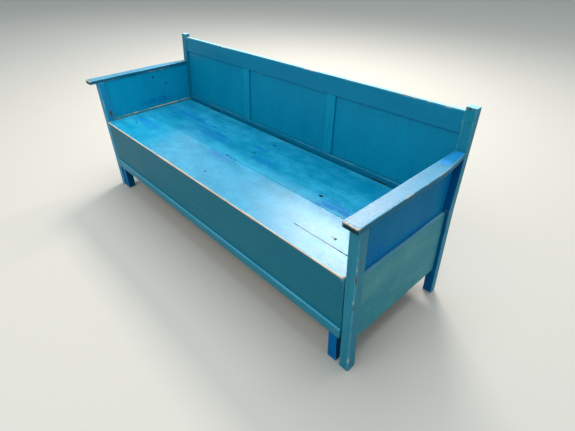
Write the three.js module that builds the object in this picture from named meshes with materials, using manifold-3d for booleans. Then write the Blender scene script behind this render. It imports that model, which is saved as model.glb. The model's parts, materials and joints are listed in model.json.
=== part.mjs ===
// A painted pull-out settle: a panelled back and two arms round a box seat, a hinged
// seat lid in two boards, and a bed base on its own legs that slides out at the front.
// Millimetres. X runs along the seat, Y from front to back, Z up from the floor.
import * as THREE from "three";
import { mergeVertices } from "three/addons/utils/BufferGeometryUtils.js";
import Module from "manifold-3d";

// Overall sizes. Depths are counted back from the front face of the front posts.
const LENGTH = 1900; // over the outer faces of the posts
const REAR_POST_FRONT = 560; // front face of the rear posts, below the seat
const SEAT_HEIGHT = 431;
const ARM_HEIGHT = 675;
const BACK_HEIGHT = 832;
const RAKE = THREE.MathUtils.degToRad(4); // lean of the back above the bend in the posts
const BEND_HEIGHT = 430;
const GAP = 0.3; // left between pieces that meet
const EASE = 2; // chamfer that eases a board's edges
const FINE_EASE = 1; // the same on slats, battens and other small pieces
const PANEL_EASE = 0.5;

// Posts
const POST = 40;
const REAR_POST_DEPTH = 32;
const HALF = LENGTH / 2;
const POST_INNER = HALF - POST; // inner face of a post, from the middle

// Arms
const ARM_THICK = 20;
const ARM_INNER = POST_INNER + 3;
const ARM_OUTER = HALF + 22;
const ARM_NOSE = 42; // overhang in front of the front post
const ARM_TAPER_START = 320; // where the outer edge starts to sweep in
const ARM_TAPER_PULL = 400; // depth that the sweep still aims at along the outer edge
const NOSE_INNER_ROUND = 6;
const NOSE_OUTER_ROUND = 5;

// Ends. Each side board's top is rebated for the panel, which leaves a lip on the inside.
const BOARD_BOTTOM = 129; // lower edge of the side boards and of the lower back board
const SIDE_BOARD_TOP = 421;
const SIDE_LIP_TOP = 442;
const SIDE_BOARD_OUTER = HALF - 15;
const SIDE_BOARD_INNER = POST_INNER + 1;
const SIDE_PANEL_OUTER = SIDE_BOARD_OUTER - 13;
const SIDE_PANEL_THICK = 5.5;

// Back
const BACK_BOARD_FRONT = REAR_POST_FRONT + 2;
const BACK_BOARD_THICK = 22;
const BACK_BOARD_TOP = 454;
const RAIL_RECESS = 5; // rail face behind the post face
const RAIL_THICK = 22;
const RAIL_LOW = 303.7; // along the raked posts, from the bend
const RAIL_HIGH = 386.3;
const PANEL_LOW = 26;
const PANEL_RECESS = 14;
const BACK_PANEL_THICK = 8;
const MUNTIN_INNER = 284; // inner edge of a muntin, from the middle
const MUNTIN_WIDTH = 47;

// Lid
const LID_THICK = 18;
const LID_UNDER = SEAT_HEIGHT - LID_THICK;
const LID_HALF = POST_INNER - 4;
const LID_NOSE = 6; // overhang in front of the front board
const LID_SEAM = 240;
const LID_SEAM_GAP = 0.8;
const LID_REAR = 550.5;
const LID_CORNER = 12;
const BATTEN_PLACES = [-765, 0, 765];
const BATTEN_WIDTH = 50;
const BATTEN_THICK = 22;
const BATTEN_FRONT = 50;
const BATTEN_REAR = 530;
const LID_CLEAT_FRONT = 45;
const LID_CLEAT_REAR = 545;
const LID_CLEAT_THICK = 20;
const LID_CLEAT_CLEAR = 2; // between a drawer leg and the cleat beside it

// Bed base: slats on two bearers, every second one fixed and the others sliding
const SLAT_TOP = 208;
const SLAT_THICK = 18;
const SLAT_UNDER = SLAT_TOP - SLAT_THICK;
const SLAT_COUNT = 15;
const SLAT_WIDTH = 104;
const BED_HALF = 830; // half the width between the drawer sides
const BEARER_DEPTH = 40;
const FRONT_BEARER = 52; // front face of the front bearer
const REAR_BEARER = 532;
const SLAT_OVERHANG = 2; // of the fixed slats in front of the front bearer

// Drawer
const FRONT_BOARD_THICK = 20;
const FRONT_BOARD_TOP = 411.5;
const FRONT_BOARD_LOW = 153;
const FRONT_HALF = POST_INNER - 3;
const MOULDING_HIGH = 196;
const MOULDING_PROUD = 9;
const MOULDING_ROUND = 6;
const DRAWER_LEG_OUTER = 890;
const DRAWER_LEG_FRONT = 3;
const DRAWER_TOP = 400;
const DRAWER_REAR = 520;
const DRAWER_SIDE_THICK = 19.4;
const SLIDING_BATTEN = 495; // front face of the batten that ties the sliding slats
const SLIDING_BATTEN_DEPTH = 30;
const SLAT_CLEAT_DEPTH = 24; // the cleat behind the front board that ties their front ends
const SLAT_TIE_THICK = 30; // height of that cleat and that batten

// Lid hinges
const HINGE_PLACES = [-620, 0, 620];
const LEAF_THICK = 1.3;
const KNUCKLE_RADIUS = 3;
const PIN_RADIUS = 1.5;
const HINGE_Y = LID_REAR + LEAF_THICK + 2 * GAP + KNUCKLE_RADIUS;
const HINGE_Z = SEAT_HEIGHT - KNUCKLE_RADIUS;
const LEAF_HALF = 35;
const FIXED_LEAF_DROP = 30; // from the pin down to the fixed leaf's lower edge
const LEAF_RISE = 2; // from the pin up to a leaf's upper edge, and half a web's height
const WEB_BITE = 1; // how far a knuckle's web runs into its leaf
const LID_LEAF_CLEAR = 1; // from the lid's underside up to the lid leaf
const MIDDLE_KNUCKLE_HALF = 11;
const PIN_END = 3; // how far a pin stands out of its knuckles
const KNUCKLE_SIDES = 20;
const PIN_SIDES = 16;

const wasm = await Module();
wasm.setup();

const bench = new THREE.Group();
// The origin is on the floor, under the middle of the whole bench.
const backOverhang = REAR_POST_DEPTH + (BACK_HEIGHT - BEND_HEIGHT) * Math.tan(RAKE);
bench.position.y = -(REAR_POST_FRONT + backOverhang - ARM_NOSE) / 2;

const FADED = { color: 0x2f7f95, roughness: 0.55, metalness: 0 };
const BRIGHT = { color: 0x0a62a8, roughness: 0.45, metalness: 0 };
const SEAT = { color: 0x4fa8cc, roughness: 0.4, metalness: 0 };
const BARE = { color: 0xa98a5f, roughness: 0.8, metalness: 0 };
const STEEL = { color: 0x55585a, roughness: 0.5, metalness: 0.9 };

// Adds one named piece, with a material of its own, to a group.
function add(name, geometry, finish, group = bench) {
  const mesh = new THREE.Mesh(geometry, new THREE.MeshStandardMaterial(finish));
  mesh.name = name;
  group.add(mesh);
  return mesh;
}

// A board with all its edges eased: low and high are opposite corners.
function board(low, high, ease = EASE) {
  const size = high.map((value, i) => value - low[i]);
  const x = size[0] / 2 - ease;
  const y = size[1] / 2 - ease;
  const cut = ease * (Math.SQRT2 - 1);
  const outline = new THREE.Shape();
  outline.moveTo(x, -y + cut);
  outline.lineTo(x, y - cut);
  outline.lineTo(x - cut, y);
  outline.lineTo(-x + cut, y);
  outline.lineTo(-x, y - cut);
  outline.lineTo(-x, -y + cut);
  outline.lineTo(-x + cut, -y);
  outline.lineTo(x - cut, -y);
  const geometry = extrude(outline, size[2], ease, ease);
  geometry.translate(low[0] + size[0] / 2, low[1] + size[1] / 2, low[2]);
  return geometry;
}

// Extrudes an outline from 0 to depth along Z, with its two end faces eased. The outline
// grows by grow at full depth, so it is drawn that much smaller.
function extrude(outline, depth, ease, grow = 0) {
  const geometry = new THREE.ExtrudeGeometry(outline, {
    depth: depth - 2 * ease,
    bevelEnabled: true,
    bevelSegments: 1,
    bevelThickness: ease,
    bevelSize: ease,
    bevelOffset: grow - ease,
    curveSegments: 4,
  });
  geometry.translate(0, 0, ease);
  return geometry;
}

// Extrudes an outline drawn as (Y, Z) points along X, from lowX to highX.
function sideProfile(points, lowX, highX, ease = EASE) {
  const outline = new THREE.Shape(points.map(([y, z]) => new THREE.Vector2(y, z)));
  const geometry = extrude(outline, highX - lowX, ease);
  const alongX = new THREE.Matrix4().makeBasis(
    new THREE.Vector3(0, 1, 0),
    new THREE.Vector3(0, 0, 1),
    new THREE.Vector3(1, 0, 0),
  );
  geometry.applyMatrix4(alongX);
  geometry.translate(lowX, 0, 0);
  return geometry;
}

// Turns a span measured on the right-hand side into the span on either side.
function span(side, near, far) {
  return side > 0 ? [near, far] : [-far, -near];
}

// How far the raked part of a rear post has moved back at a height.
function lean(height) {
  return Math.max(0, height - BEND_HEIGHT) * Math.tan(RAKE);
}

function solid(geometry) {
  const bare = geometry.clone();
  bare.deleteAttribute("normal");
  bare.deleteAttribute("uv");
  const merged = mergeVertices(bare, 1e-4);
  return new wasm.Manifold(new wasm.Mesh({
    numProp: 3,
    vertProperties: new Float32Array(merged.attributes.position.array),
    triVerts: new Uint32Array(merged.index.array),
  }));
}

function geometryOf(manifold) {
  const mesh = manifold.getMesh();
  const geometry = new THREE.BufferGeometry();
  geometry.setAttribute("position", new THREE.BufferAttribute(mesh.vertProperties, 3));
  geometry.setIndex(new THREE.BufferAttribute(mesh.triVerts, 1));
  geometry.computeVertexNormals();
  return geometry;
}

function frontPost(side, name) {
  const [x0, x1] = span(side, POST_INNER, HALF);
  add(name, board([x0, 0, 0], [x1, POST, ARM_HEIGHT - ARM_THICK - GAP]), FADED);
}

function rearPost(side, name) {
  const [x0, x1] = span(side, POST_INNER, HALF);
  const back = REAR_POST_FRONT + REAR_POST_DEPTH;
  const top = lean(BACK_HEIGHT);
  const outline = [
    [REAR_POST_FRONT, 0],
    [back, 0],
    [back, BEND_HEIGHT],
    [back + top, BACK_HEIGHT],
    [REAR_POST_FRONT + top, BACK_HEIGHT],
    [REAR_POST_FRONT, BEND_HEIGHT],
  ];
  add(name, sideProfile(outline, x0, x1), FADED);
}

// The arm's nose has rounded corners, and its outer edge sweeps in to the rear post.
function arm(side, name) {
  const rear = REAR_POST_FRONT + lean(ARM_HEIGHT - ARM_THICK) - GAP;
  const inner = side * ARM_INNER;
  const outer = side * ARM_OUTER;
  const outline = new THREE.Shape();
  outline.moveTo(inner, rear);
  outline.lineTo(inner, NOSE_INNER_ROUND - ARM_NOSE);
  outline.quadraticCurveTo(inner, -ARM_NOSE, inner + side * NOSE_INNER_ROUND, -ARM_NOSE);
  outline.lineTo(outer - side * NOSE_OUTER_ROUND, -ARM_NOSE);
  outline.quadraticCurveTo(outer, -ARM_NOSE, outer, NOSE_OUTER_ROUND - ARM_NOSE);
  outline.lineTo(outer, ARM_TAPER_START);
  outline.quadraticCurveTo(outer, ARM_TAPER_PULL, side * HALF, rear);
  const mesh = add(name, extrude(outline, ARM_THICK, EASE), FADED);
  mesh.position.z = ARM_HEIGHT - ARM_THICK;
}

function sideBoard(side, name) {
  const [x0, x1] = span(side, SIDE_BOARD_INNER, SIDE_BOARD_OUTER);
  const low = [x0, POST + GAP, BOARD_BOTTOM];
  const whole = solid(board(low, [x1, REAR_POST_FRONT - GAP, SIDE_LIP_TOP]));
  const lipOuter = SIDE_PANEL_OUTER - SIDE_PANEL_THICK - GAP;
  const [cut0, cut1] = span(side, lipOuter, SIDE_BOARD_OUTER + EASE);
  const rebate = plate([cut0, 0, SIDE_BOARD_TOP], [cut1, REAR_POST_FRONT, SIDE_LIP_TOP + EASE]);
  add(name, geometryOf(whole.subtract(solid(rebate))), FADED);
}

// The thin panel in the side board's rebate reaches up to the arm, and follows the rear
// post's lean.
function sidePanel(side, name) {
  const [x0, x1] = span(side, SIDE_PANEL_OUTER - SIDE_PANEL_THICK, SIDE_PANEL_OUTER);
  const bottom = SIDE_BOARD_TOP + GAP;
  const top = ARM_HEIGHT - ARM_THICK - GAP;
  const outline = [
    [POST + GAP, bottom],
    [REAR_POST_FRONT - GAP, bottom],
    [REAR_POST_FRONT - GAP, BEND_HEIGHT],
    [REAR_POST_FRONT + lean(top) - GAP, top],
    [POST + GAP, top],
  ];
  add(name, sideProfile(outline, x0, x1, PANEL_EASE), BRIGHT);
}

function lidCleat(side, name) {
  const [x0, x1] = span(side, DRAWER_LEG_OUTER + LID_CLEAT_CLEAR, SIDE_BOARD_INNER - GAP);
  const top = LID_UNDER - GAP;
  const low = [x0, LID_CLEAT_FRONT, top - LID_CLEAT_THICK];
  add(name, board(low, [x1, LID_CLEAT_REAR, top], FINE_EASE), BARE);
}

// The wide board that closes the back of the box and shows a little above the seat.
function lowerBack() {
  const half = POST_INNER - GAP;
  const low = [-half, BACK_BOARD_FRONT, BOARD_BOTTOM];
  const high = [half, BACK_BOARD_FRONT + BACK_BOARD_THICK, BACK_BOARD_TOP];
  add("lower_back_board", board(low, high), FADED);
}

// Rail, muntins and panels stand in the raked plane of the rear posts.
function rakedBack() {
  const raked = new THREE.Group();
  raked.position.set(0, REAR_POST_FRONT, BEND_HEIGHT);
  raked.rotation.x = -RAKE;
  bench.add(raked);
  const end = POST_INNER - GAP;
  const face = RAIL_RECESS;
  const rear = RAIL_RECESS + RAIL_THICK;
  add("top_rail", board([-end, face, RAIL_LOW], [end, rear, RAIL_HIGH]), FADED, raked);
  const top = RAIL_LOW - GAP;
  const outer = MUNTIN_INNER + MUNTIN_WIDTH;
  for (const [side, word] of [[-1, "left"], [1, "right"]]) {
    const [x0, x1] = span(side, MUNTIN_INNER, outer);
    const muntin = board([x0, face, PANEL_LOW], [x1, rear, top], FINE_EASE);
    add(word + "_muntin", muntin, FADED, raked);
  }
  const spans = {
    left: span(-1, outer + GAP, end),
    middle: [GAP - MUNTIN_INNER, MUNTIN_INNER - GAP],
    right: span(1, outer + GAP, end),
  };
  const panelRear = PANEL_RECESS + BACK_PANEL_THICK;
  for (const [word, [x0, x1]] of Object.entries(spans)) {
    const geometry = board([x0, PANEL_RECESS, PANEL_LOW], [x1, panelRear, top], PANEL_EASE);
    add(word + "_back_panel", geometry, FADED, raked);
  }
}

// Two cross bearers carry the slats; the fixed slats lie on both.
function fixedBed() {
  const half = SIDE_BOARD_INNER - GAP;
  const bearerLow = SLAT_UNDER - GAP - BEARER_DEPTH;
  const top = SLAT_UNDER - GAP;
  const rear = BACK_BOARD_FRONT - GAP;
  const frontHigh = [half, FRONT_BEARER + BEARER_DEPTH, top];
  add("front_bearer", board([-half, FRONT_BEARER, bearerLow], frontHigh), BARE);
  add("rear_bearer", board([-half, REAR_BEARER, bearerLow], [half, rear, top]), BARE);
  slats("fixed_slat", 1, FRONT_BEARER - SLAT_OVERHANG, rear);
}

// Every second slat from the first place given, between two depths.
function slats(name, first, front, rear) {
  const pitch = 2 * BED_HALF / SLAT_COUNT;
  let number = 1;
  for (let i = first; i < SLAT_COUNT; i += 2) {
    const middle = -BED_HALF + pitch * (i + 0.5);
    const low = [middle - SLAT_WIDTH / 2, front, SLAT_UNDER];
    const high = [middle + SLAT_WIDTH / 2, rear, SLAT_TOP];
    add(name + "_" + number, board(low, high, FINE_EASE), BARE);
    number += 1;
  }
}

// The front lid board has rounded corners where it passes between the front posts.
function lid() {
  const outline = new THREE.Shape();
  const seam = LID_SEAM - LID_SEAM_GAP / 2;
  outline.moveTo(-LID_HALF, seam);
  outline.lineTo(-LID_HALF, LID_CORNER - LID_NOSE);
  outline.quadraticCurveTo(-LID_HALF, -LID_NOSE, LID_CORNER - LID_HALF, -LID_NOSE);
  outline.lineTo(LID_HALF - LID_CORNER, -LID_NOSE);
  outline.quadraticCurveTo(LID_HALF, -LID_NOSE, LID_HALF, LID_CORNER - LID_NOSE);
  outline.lineTo(LID_HALF, seam);
  const front = add("front_lid_board", extrude(outline, LID_THICK, FINE_EASE), SEAT);
  front.position.z = LID_UNDER;
  const low = [-LID_HALF, LID_SEAM + LID_SEAM_GAP / 2, LID_UNDER];
  add("rear_lid_board", board(low, [LID_HALF, LID_REAR, SEAT_HEIGHT], FINE_EASE), SEAT);
  BATTEN_PLACES.forEach((x, i) => {
    const top = LID_UNDER - GAP;
    const near = [x - BATTEN_WIDTH / 2, BATTEN_FRONT, top - BATTEN_THICK];
    const far = [x + BATTEN_WIDTH / 2, BATTEN_REAR, top];
    add(["left", "middle", "right"][i] + "_lid_batten", board(near, far), BARE);
  });
}

function drawerLeg(side, name) {
  const [x0, x1] = span(side, DRAWER_LEG_OUTER - POST, DRAWER_LEG_OUTER);
  const rear = DRAWER_LEG_FRONT + POST;
  const notch = FRONT_BOARD_THICK + GAP;
  const shoulder = FRONT_BOARD_LOW - GAP;
  const outline = [
    [DRAWER_LEG_FRONT, 0],
    [rear, 0],
    [rear, DRAWER_TOP],
    [notch, DRAWER_TOP],
    [notch, shoulder],
    [DRAWER_LEG_FRONT, shoulder],
  ];
  add(name, sideProfile(outline, x0, x1, FINE_EASE), BRIGHT);
}

function drawerSide(side, name) {
  const [x0, x1] = span(side, BED_HALF + GAP, BED_HALF + GAP + DRAWER_SIDE_THICK);
  const low = [x0, FRONT_BOARD_THICK + GAP, SLAT_UNDER];
  add(name, board(low, [x1, DRAWER_REAR, DRAWER_TOP], FINE_EASE), BARE);
}

// The moulding is a strip with a rounded upper edge, nailed along the foot of the front board.
function moulding() {
  const face = -MOULDING_PROUD;
  const steps = 4;
  const outline = [[-GAP, FRONT_BOARD_LOW], [face, FRONT_BOARD_LOW]];
  for (let i = 0; i <= steps; i += 1) {
    const turn = (Math.PI / 2) * (i / steps);
    const y = face + MOULDING_ROUND * (1 - Math.cos(turn));
    const z = MOULDING_HIGH - MOULDING_ROUND * (1 - Math.sin(turn));
    outline.push([y, z]);
  }
  outline.push([-GAP, MOULDING_HIGH]);
  add("front_moulding", sideProfile(outline, -FRONT_HALF, FRONT_HALF, FINE_EASE), FADED);
}

// The pull-out front: board, moulding, legs, sides, sliding slats and what ties them.
function drawer() {
  const low = [-FRONT_HALF, 0, FRONT_BOARD_LOW];
  add("front_board", board(low, [FRONT_HALF, FRONT_BOARD_THICK, FRONT_BOARD_TOP]), FADED);
  moulding();
  drawerLeg(-1, "left_drawer_leg");
  drawerLeg(1, "right_drawer_leg");
  drawerSide(-1, "left_drawer_side");
  drawerSide(1, "right_drawer_side");
  const half = BED_HALF + DRAWER_SIDE_THICK;
  const top = SLAT_UNDER - GAP;
  const under = top - SLAT_TIE_THICK;
  const behind = FRONT_BOARD_THICK + GAP;
  const cleatHigh = [half, behind + SLAT_CLEAT_DEPTH, top];
  add("front_slat_cleat", board([-half, behind, under], cleatHigh, FINE_EASE), BARE);
  const rear = SLIDING_BATTEN + SLIDING_BATTEN_DEPTH;
  const batten = board([-half, SLIDING_BATTEN, under], [half, rear, top], FINE_EASE);
  add("rear_slat_batten", batten, BARE);
  slats("sliding_slat", 0, behind, rear);
}

function barAlongX(radius, lowX, highX, sides) {
  const geometry = new THREE.CylinderGeometry(radius, radius, highX - lowX, sides);
  geometry.rotateZ(Math.PI / 2);
  geometry.translate((lowX + highX) / 2, HINGE_Y, HINGE_Z);
  return geometry;
}

function plate(low, high) {
  const size = high.map((value, i) => value - low[i]);
  const geometry = new THREE.BoxGeometry(...size);
  geometry.translate(...low.map((value, i) => value + size[i] / 2));
  return geometry;
}

// Joins a leaf's plate, knuckles and webs, and drills the knuckles for the pin.
function leaf(leafPlate, knuckles, webLow, webHigh) {
  let whole = solid(leafPlate);
  for (const [x0, x1] of knuckles) {
    const web = plate([x0, webLow, HINGE_Z - LEAF_RISE], [x1, webHigh, HINGE_Z + LEAF_RISE]);
    const knuckle = barAlongX(KNUCKLE_RADIUS, x0, x1, KNUCKLE_SIDES);
    whole = whole.add(solid(knuckle)).add(solid(web));
  }
  const drill = barAlongX(PIN_RADIUS + GAP, -LEAF_HALF * 2, LEAF_HALF * 2, PIN_SIDES);
  return geometryOf(whole.subtract(solid(drill)));
}

// Two outer knuckles on the back board's leaf, one middle knuckle on the lid's leaf.
function hinge(x, word) {
  const inner = MIDDLE_KNUCKLE_HALF + GAP;
  const outerKnuckles = [[-LEAF_HALF, -inner], [inner, LEAF_HALF]];
  const fixedBack = BACK_BOARD_FRONT - GAP;
  const fixedFront = fixedBack - LEAF_THICK;
  const top = HINGE_Z + LEAF_RISE;
  const fixedLow = [-LEAF_HALF, fixedFront, HINGE_Z - FIXED_LEAF_DROP];
  const fixedPlate = plate(fixedLow, [LEAF_HALF, fixedBack, top]);
  const fixed = leaf(fixedPlate, outerKnuckles, HINGE_Y + PIN_RADIUS, fixedFront + WEB_BITE);
  add(word + "_hinge_fixed_leaf", fixed, STEEL).position.x = x;
  const lidFront = LID_REAR + GAP;
  const lidBack = lidFront + LEAF_THICK;
  const lidLow = [-LEAF_HALF, lidFront, LID_UNDER + LID_LEAF_CLEAR];
  const lidPlate = plate(lidLow, [LEAF_HALF, lidBack, top]);
  const middle = [[-MIDDLE_KNUCKLE_HALF, MIDDLE_KNUCKLE_HALF]];
  const moving = leaf(lidPlate, middle, lidBack - WEB_BITE, HINGE_Y - PIN_RADIUS);
  add(word + "_hinge_lid_leaf", moving, STEEL).position.x = x;
  const pin = barAlongX(PIN_RADIUS, -LEAF_HALF - PIN_END, LEAF_HALF + PIN_END, PIN_SIDES);
  add(word + "_hinge_pin", pin, STEEL).position.x = x;
}

for (const [side, word] of [[-1, "left"], [1, "right"]]) {
  frontPost(side, word + "_front_post");
  rearPost(side, word + "_rear_post");
  arm(side, word + "_arm");
  sideBoard(side, word + "_side_board");
  sidePanel(side, word + "_side_panel");
  lidCleat(side, word + "_lid_cleat");
}
lowerBack();
rakedBack();
fixedBed();
lid();
drawer();
HINGE_PLACES.forEach((x, i) => hinge(x, ["left", "middle", "right"][i]));

export default bench;
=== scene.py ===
import json
import math

import bmesh
import bpy
from mathutils import Matrix, Quaternion, Vector, noise

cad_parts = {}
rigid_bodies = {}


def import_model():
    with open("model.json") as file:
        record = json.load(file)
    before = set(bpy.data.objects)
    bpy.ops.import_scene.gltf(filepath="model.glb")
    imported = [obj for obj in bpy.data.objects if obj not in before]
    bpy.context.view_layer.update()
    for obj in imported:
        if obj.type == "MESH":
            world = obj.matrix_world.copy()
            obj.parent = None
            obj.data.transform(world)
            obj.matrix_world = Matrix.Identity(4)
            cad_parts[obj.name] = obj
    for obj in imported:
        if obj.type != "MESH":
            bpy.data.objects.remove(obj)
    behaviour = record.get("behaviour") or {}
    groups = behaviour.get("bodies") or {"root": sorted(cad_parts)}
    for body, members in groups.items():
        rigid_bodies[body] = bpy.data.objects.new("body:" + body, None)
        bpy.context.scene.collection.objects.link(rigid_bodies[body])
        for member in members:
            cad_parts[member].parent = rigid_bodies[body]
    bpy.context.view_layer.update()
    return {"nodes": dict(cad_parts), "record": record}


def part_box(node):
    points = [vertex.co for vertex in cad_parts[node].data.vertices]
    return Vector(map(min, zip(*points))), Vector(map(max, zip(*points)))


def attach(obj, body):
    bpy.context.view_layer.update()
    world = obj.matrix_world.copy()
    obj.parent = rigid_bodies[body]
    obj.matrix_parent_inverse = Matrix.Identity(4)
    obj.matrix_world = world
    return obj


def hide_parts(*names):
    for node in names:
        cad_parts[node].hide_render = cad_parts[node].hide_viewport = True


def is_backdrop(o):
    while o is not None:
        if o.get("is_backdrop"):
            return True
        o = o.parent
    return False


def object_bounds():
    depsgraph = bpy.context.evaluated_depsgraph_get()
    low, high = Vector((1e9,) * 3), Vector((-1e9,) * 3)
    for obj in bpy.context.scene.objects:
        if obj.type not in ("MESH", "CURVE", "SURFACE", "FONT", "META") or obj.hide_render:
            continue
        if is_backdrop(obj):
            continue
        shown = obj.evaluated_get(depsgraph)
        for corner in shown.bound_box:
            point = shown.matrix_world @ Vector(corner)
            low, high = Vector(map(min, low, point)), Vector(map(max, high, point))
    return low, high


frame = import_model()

scene = bpy.context.scene
shown = scene.collection.objects

# ---------------------------------------------------------------------------------------
# The stand and the light. The settle stands on a plain pale floor, and is seen from in
# front and to its right, from a little above head height when seated.
# ---------------------------------------------------------------------------------------
AZIMUTH = math.radians(48.09)
ELEVATION = math.radians(32.92)
ROLL = math.radians(-1.42)
STAND_POINT = (1.4803, -1.0378, 1.3262)

camera_data = bpy.data.cameras.new("camera")
camera_data.sensor_width = 36
camera_data.lens = 25.5
camera_data.shift_x = 0.0014
camera_data.shift_y = -0.027
camera = bpy.data.objects.new("camera", camera_data)
shown.link(camera)
camera.location = STAND_POINT
look = Vector((
    -math.sin(AZIMUTH) * math.cos(ELEVATION),
    math.cos(AZIMUTH) * math.cos(ELEVATION),
    -math.sin(ELEVATION),
))
camera.rotation_mode = "QUATERNION"
camera.rotation_quaternion = look.to_track_quat("-Z", "Y") @ Quaternion((0, 0, 1), ROLL)
scene.camera = camera
scene.view_settings.view_transform = "Standard"


def place(tree, kind, inputs=None, **settings):
    """Adds a node with its settings, and puts values or links on its inputs."""
    node = tree.nodes.new(kind)
    for key, value in settings.items():
        setattr(node, key, value)
    for key, value in (inputs or {}).items():
        if isinstance(value, bpy.types.NodeSocket):
            tree.links.new(value, node.inputs[key])
        else:
            node.inputs[key].default_value = value
    return node


def screen_colour(red, green, blue):
    """A colour from its values of 0 to 255 on a screen."""
    parts = [value / 255 for value in (red, green, blue)]
    return (*[p / 12.92 if p <= 0.04045 else ((p + 0.055) / 1.055) ** 2.4 for p in parts], 1)


floor_paint = bpy.data.materials.new("pale_floor")
floor_paint.use_nodes = True
floor_shader = floor_paint.node_tree.nodes["Principled BSDF"]
floor_shader.inputs["Base Color"].default_value = screen_colour(190, 190, 186)
floor_shader.inputs["Roughness"].default_value = 0.9

bm = bmesh.new()
bmesh.ops.create_grid(bm, x_segments=1, y_segments=1, size=40)
floor_mesh = bpy.data.meshes.new("floor")
bm.to_mesh(floor_mesh)
bm.free()
floor_mesh.materials.append(floor_paint)
floor = bpy.data.objects.new("floor", floor_mesh)
shown.link(floor)
floor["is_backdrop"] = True

world = bpy.data.worlds.new("pale_room")
world.use_nodes = True
room = world.node_tree.nodes["Background"]
room.inputs["Color"].default_value = (0.86, 0.95, 0.97, 1)
room.inputs["Strength"].default_value = 0.55
scene.world = world


def softbox(name, stands, faces, wide, tall, power, tint):
    """A soft rectangular light, from where it stands and the place that it faces."""
    lamp = bpy.data.lights.new(name, "AREA")
    lamp.shape = "RECTANGLE"
    lamp.size = wide
    lamp.size_y = tall
    lamp.energy = power
    lamp.color = tint
    stand = bpy.data.objects.new(name, lamp)
    shown.link(stand)
    stand.location = stands
    stand.rotation_mode = "QUATERNION"
    stand.rotation_quaternion = (Vector(faces) - Vector(stands)).to_track_quat("-Z", "Y")


softbox("key_from_behind", (-1.5, 2.6, 3.3), (-1.5, 0, 0.4), 1.9, 0.8, 160, (1.0, 0.88, 0.78))
softbox("strip_at_left", (-5.4, 2.6, 3.3), (-4.6, 0, 0.4), 6.0, 0.8, 38, (0.9, 0.95, 1.0))
softbox("wide_overhead", (0.2, 1.5, 7.2), (0.2, 0, 0.4), 5.0, 5.0, 290, (1.0, 0.99, 0.96))
softbox("fill_from_front", (0.7, -2.8, 3.8), (0.2, 0, 0.4), 3.0, 2.0, 60, (1.0, 0.98, 0.95))

# ---------------------------------------------------------------------------------------
# Front posts. Square pine posts, planed and painted, with the arms resting on their tops.
# The paint on their outer corners has chipped to the wood where legs and brooms strike.
# ---------------------------------------------------------------------------------------
POST_EASE = 0.0022
REACH = 0.007  # how far in from an edge its wear shows
SAWN_EDGE = math.radians(30)  # edges that turn more than this are eased
ROUNDED_EDGE = math.radians(40)  # edges that turn less than this look smooth
HOLLOWS = 14  # worn hollows in a metre of edge

BARE_WOOD = screen_colour(230, 200, 170)
WORN_WOOD = screen_colour(168, 128, 100)
CHIPPED_WOOD = screen_colour(94, 78, 66)
DARK_WOOD = screen_colour(92, 58, 38)
GRIME = screen_colour(34, 46, 54)
# Pale chalky blue of rubbed edges, which also serves as a painted highlight along them.
CHALKY_HIGHLIGHT_BLUE = screen_colour(150, 208, 224)


def new_group(name, inputs, outputs):
    """Starts a shader node group, and returns it with its incoming and outgoing sockets."""
    tree = bpy.data.node_groups.new(name, "ShaderNodeTree")
    for label, kind, value in inputs:
        socket = tree.interface.new_socket(label, in_out="INPUT", socket_type=kind)
        socket.default_value = value
    for label, kind in outputs:
        tree.interface.new_socket(label, in_out="OUTPUT", socket_type=kind)
    start = tree.nodes.new("NodeGroupInput")
    end = tree.nodes.new("NodeGroupOutput")
    return tree, start.outputs, end.inputs


def mix(tree, factor, first, second, blend_type="MIX"):
    inputs = {0: factor, 6: first, 7: second}
    return place(tree, "ShaderNodeMix", inputs, data_type="RGBA", blend_type=blend_type).outputs[2]


def calculate(tree, operation, first, second=0.0):
    inputs = {0: first, 1: second}
    return place(tree, "ShaderNodeMath", inputs, operation=operation).outputs[0]


def between(tree, value, low, high, from_value=0.0, to_value=1.0):
    """Smoothly from one value to another as an input goes from low to high."""
    inputs = {
        "Value": value,
        "From Min": low,
        "From Max": high,
        "To Min": from_value,
        "To Max": to_value,
    }
    return place(tree, "ShaderNodeMapRange", inputs, interpolation_type="SMOOTHSTEP").outputs[0]


def cloud(tree, vector, stretch, detail, roughness=0.55):
    """Noise on coordinates stretched along the grain, which runs along X."""
    inputs = {0: vector, 1: stretch}
    drawn = place(tree, "ShaderNodeVectorMath", inputs, operation="MULTIPLY").outputs[0]
    inputs = {"Vector": drawn, "Scale": 1.0, "Detail": detail, "Roughness": roughness}
    return place(tree, "ShaderNodeTexNoise", inputs).outputs[0]


# Wood grain: fine lines, broad bands, and the strokes of the brush that follow the grain.
grain_group, given, wanted = new_group(
    "wood_grain",
    [("Vector", "NodeSocketVector", (0, 0, 0))],
    [("Lines", "NodeSocketFloat"), ("Bands", "NodeSocketFloat"), ("Strokes", "NodeSocketFloat")],
)
for output, stretch, detail in (
    ("Lines", (2.6, 70, 70), 6),
    ("Bands", (0.9, 6, 6), 3),
    ("Strokes", (11, 330, 330), 2),
):
    grain_group.links.new(cloud(grain_group, given["Vector"], stretch, detail), wanted[output])
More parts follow.
